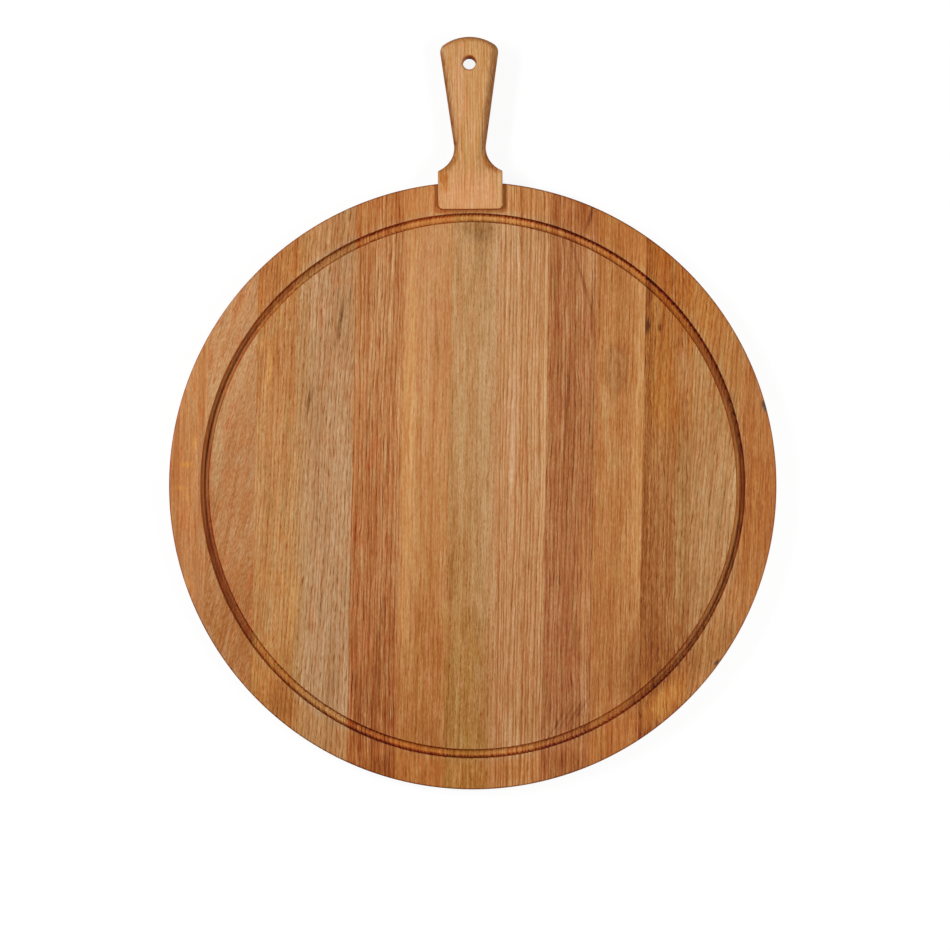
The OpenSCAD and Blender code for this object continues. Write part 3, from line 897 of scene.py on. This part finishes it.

# The handle's oak is paler and its pores are fainter, and it is pale across the base. Painted shade
# darkens both sides of the grip, where they round over, and both shoulders.
handle_look = {
    "main": "#CC8F52", "warm": "#D6925E", "cool": "#C28E53", "warm_share": 0.7, "cool_share": 0.6,
    "fade": 0.0, "rings": 0.25, "ring_w": 2.0, "pith": (70, -40), "bands": 0.12, "band_w": 5,
    "fibres": 0.55, "fibre_l": 40, "pores": 0.3, "pore_l": 10, "wall_shade": 0.2, "outward_darkening": 0.5,
    "torn": 0.6, "corner": 0.0, "warm_rim": 0.0,
    "marks": (
        (0, 268, 34, 26, "#DA9862", 0.9, 0), (-25, 286, 5, 8, "#B86A20", 0.9, 0),
        # The dark marks down both sides of the grip and on the shoulders are painted shade
        (-22, 276, 5, 5, "#CC7F3A", 0.6, 0), (20, 358, 7, 72, "#965E2C", 0.75, -8),
        (-9, 375, 5, 34, "#DCA070", 0.6, 3), (-20, 358, 6, 66, "#A47C50", 0.55, 8),
        (-16.5, 301, 4, 10, "#A4601E", 0.8, -35), (-23.5, 295, 4, 8, "#A4601E", 0.8, -57),
        (16.5, 301, 5, 10, "#9C5618", 0.9, 35), (23.5, 295, 4.5, 8, "#9C5618", 0.8, 57),
    ),
}
handle_seed = 61.0
cutter = handle_cutter()
handle = grown("shaped_handle", handle_body(), handle_tree, {
    "Cutter": cutter, "Material": oak("oiled_oak_handle", handle_seed, 0, 0, handle_look),
})
bpy.data.objects.remove(cutter)
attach(handle, "root")
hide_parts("handle")

# Handle screws
# Two zinc-plated countersunk wood screws, driven from beneath through the pocket's floor into the
# tongue. Each has a plain shank, a rolled thread, a pointed end and a six-sided socket in its head.
screw_shank_l = 8 * mm
screw_core_r = 1.3 * mm
screw_pitch = 1.8 * mm
thread_turns = 4.5
thread_root = 0.1 * mm
thread_start = screw_shank_l + 0.6 * mm
shank_end = screw_shank_l - 0.4 * mm
core_start = screw_shank_l + 0.3 * mm
screw_point_l = 3 * mm
point_end_l = 0.5 * mm
point_end_r = 0.35 * screw_core_r
head_round = 0.08 * mm
socket_r = 1.6 * mm
socket_floor_r = 0.86 * socket_r
socket_deep = 1.8 * mm
socket_cone = 0.35 * mm
socket_ease = 0.15 * mm
socket_sides = 6
screw_steps = 64
thread_steps = 32
thread_sides = 4


def screw_body():
    """One screw without its thread, head down, with the round wall of its socket drawn in to six flats"""
    cone_top = screw_head_rim + screw_head_r - screw_r
    profile = [
        (0, socket_deep), (socket_floor_r, socket_deep - socket_cone), (socket_r, socket_ease),
        (socket_r + socket_ease, 0), (screw_head_r - head_round, 0), (screw_head_r, head_round),
        (screw_head_r, screw_head_rim), (screw_r, cone_top), (screw_r, shank_end),
        (screw_core_r, core_start), (screw_core_r, screw_l - screw_point_l),
        (point_end_r, screw_l - point_end_l), (0, screw_l),
    ]
    data = lathe("screw_body", profile, screw_steps)
    half_side = math.pi / socket_sides
    for vert in data.vertices:
        radius = math.hypot(vert.co.x, vert.co.y)
        if 0 < radius <= socket_r + socket_ease / 2 and vert.co.z < socket_deep:
            turn = math.atan2(vert.co.y, vert.co.x) % (2 * half_side)
            vert.co.xy *= math.cos(half_side) / math.cos(turn - half_side)
    return data


screw_tree, given = tree_with("drive_screws", {
    "Pitch": "Float", "Turns": "Float", "Core Radius": "Float", "Thread Height": "Float",
    "Thread Start": "Float", "Half Spread": "Float", "Row": "Float", "Sink": "Float",
    "Material": "Material",
})
rise = add(screw_tree, "ShaderNodeMath", {0: given["Pitch"], 1: given["Turns"]}, operation="MULTIPLY")
coil = add(screw_tree, "GeometryNodeCurveSpiral", {
    "Resolution": thread_steps, "Rotations": given["Turns"], "Start Radius": given["Core Radius"],
    "End Radius": given["Core Radius"], "Height": rise,
})
ridge = {"Resolution": thread_sides, "Radius": given["Thread Height"]}
ridge = add(screw_tree, "GeometryNodeCurvePrimitiveCircle", ridge, mode="RADIUS")
thread = {"Curve": coil, "Profile Curve": ridge, "Fill Caps": True}
thread = add(screw_tree, "GeometryNodeCurveToMesh", thread)
start = add(screw_tree, "ShaderNodeCombineXYZ", {"Z": given["Thread Start"]})
thread = add(screw_tree, "GeometryNodeTransform", {"Geometry": thread, "Translation": start})
screw = add(screw_tree, "GeometryNodeJoinGeometry", {"Geometry": given["Geometry"]})
screw_tree.links.new(thread.outputs[0], screw.inputs["Geometry"])
left = add(screw_tree, "ShaderNodeMath", {0: given["Half Spread"], 1: -1.0}, operation="MULTIPLY")
gap = add(screw_tree, "ShaderNodeMath", {0: given["Half Spread"], 1: 2.0}, operation="MULTIPLY")
first = add(screw_tree, "ShaderNodeCombineXYZ", {"X": left, "Y": given["Row"], "Z": given["Sink"]})
step = add(screw_tree, "ShaderNodeCombineXYZ", {"X": gap})
row = {"Count": 2, "Start Location": first, "Offset": step}
row = add(screw_tree, "GeometryNodeMeshLine", row, mode="OFFSET")
both = add(screw_tree, "GeometryNodeInstanceOnPoints", {"Points": row, "Instance": screw})
both = add(screw_tree, "GeometryNodeRealizeInstances", {"Geometry": both})
finish_tree(screw_tree, both, given["Material"])


def zinc_plate():
    """Bright zinc on rolled steel: a pale metal with a faint cloudy grain, more matt where it is paler"""
    cloud_size = 1.5 * mm
    bright_rough = 0.16
    cloud_rough = 0.4
    material, tree = bare_material("zinc_plated_steel")
    where = add(tree, "ShaderNodeTexCoord").outputs["Object"]
    cloud = add(tree, "ShaderNodeTexNoise", {"Vector": where, "Scale": 1 / cloud_size, "Detail": 3.0})
    colour = add(tree, "ShaderNodeValToRGB", {"Fac": cloud})
    for element, text in zip(colour.color_ramp.elements, ("#A9A7A1", "#C6C4BE")):
        element.color = srgb(text)
    rough = {0: cloud, 1: cloud_rough, 2: bright_rough}
    rough = add(tree, "ShaderNodeMath", rough, operation="MULTIPLY_ADD")
    inputs = {"Base Color": colour, "Metallic": 1.0, "Roughness": rough}
    surface = add(tree, "ShaderNodeBsdfPrincipled", inputs)
    add(tree, "ShaderNodeOutputMaterial", {"Surface": surface})
    return material


screws = grown("threaded_screws", screw_body(), screw_tree, {
    "Pitch": screw_pitch, "Turns": thread_turns, "Core Radius": screw_core_r - thread_root,
    "Thread Height": screw_r - screw_core_r + thread_root, "Thread Start": thread_start,
    "Half Spread": screw_x, "Row": screw_y, "Sink": screw_sink, "Material": zinc_plate(),
})
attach(screws, "root")
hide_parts("handle_screws")

# Floor, light and camera
# The board lies on a pale floor that reads as white and keeps a faint shadow. Two long soft boxes
# stand left and right, a weaker one hangs above, and the camera looks straight down.
floor_half = 12.0
floor_gap = 0.2 * mm
floor_lift = 0.85
floor_white = 1.05
sky_level = 0.05


def pale_floor():
    """Matt white floor, lifted to white for the camera and in reflections, with a trace of shadow left"""
    material, tree = bare_material("pale_floor")
    path = add(tree, "ShaderNodeLightPath").outputs
    seen = {0: path["Is Camera Ray"], 1: path["Is Glossy Ray"]}
    seen = add(tree, "ShaderNodeMath", seen, operation="MAXIMUM")
    seen = add(tree, "ShaderNodeMath", {0: seen, 1: path["Is Transmission Ray"]}, operation="MAXIMUM")
    lift = add(tree, "ShaderNodeMath", {0: seen, 1: floor_lift}, operation="MULTIPLY")
    inputs = {"Factor": seen, "A": srgb("#BDBDBD"), "B": srgb("#FAFAFA")}
    tint = add(tree, "ShaderNodeMix", inputs, data_type="RGBA")
    matt = add(tree, "ShaderNodeBsdfDiffuse", {"Color": tint})
    white = add(tree, "ShaderNodeEmission", {"Color": (1, 1, 1, 1), "Strength": floor_white})
    surface = add(tree, "ShaderNodeMixShader", {"Fac": lift, 1: matt, 2: white})
    add(tree, "ShaderNodeOutputMaterial", {"Surface": surface})
    return material


corners = [(x * floor_half, y * floor_half, -floor_gap) for x, y in ((-1, -1), (1, -1), (1, 1), (-1, 1))]
floor_mesh = bpy.data.meshes.new("floor")
floor_mesh.from_pydata(corners, [], [(0, 1, 2, 3)])
floor_mesh.materials.append(pale_floor())
new_object("floor", floor_mesh)

world = bpy.data.worlds.new("studio")
bpy.context.scene.world = world
world.use_nodes = True
world.node_tree.nodes.clear()
path = add(world.node_tree, "ShaderNodeLightPath").outputs
level = {0: path["Is Camera Ray"], 1: 1 - sky_level, 2: sky_level}
level = add(world.node_tree, "ShaderNodeMath", level, operation="MULTIPLY_ADD")
sky = add(world.node_tree, "ShaderNodeBackground", {"Color": (1, 1, 1, 1), "Strength": level})
add(world.node_tree, "ShaderNodeOutputWorld", {"Surface": sky})


def soft_box(name, place, size, power):
    """A rectangular soft light at a place, aimed at the board's middle and hidden from the camera"""
    light = bpy.data.lights.new(name, "AREA")
    light.shape = "RECTANGLE"
    light.size, light.size_y = size
    light.energy = power
    lamp = new_object(name, light)
    lamp.location = place
    lamp.rotation_euler = (-Vector(place)).to_track_quat("-Z", "Y").to_euler()
    lamp.visible_camera = False


soft_box("left_box", place=(-1.4, 0.35, 1.2), size=(1.5, 0.4), power=27.5)
soft_box("right_box", place=(1.3, -0.3, 1.35), size=(1.5, 0.4), power=22.5)
soft_box("top_box", place=(0.0, 0.9, 2.4), size=(1.2, 0.8), power=2.5)

camera_height = 2.2
camera_x = 2.18 * mm
camera_y = 9.92 * mm
camera_roll = math.radians(0.47)
# Half of the width that the picture takes in at the height of the board's underside
half_picture = 445.346 * mm
camera_data = bpy.data.cameras.new("camera")
camera_data.angle = 2 * math.atan(half_picture / camera_height)
camera = new_object("camera", camera_data)
camera.location = (camera_x, camera_y, camera_height)
camera.rotation_euler = (0, 0, -camera_roll)
bpy.context.scene.camera = camera
bpy.context.scene.view_settings.view_transform = "Standard"
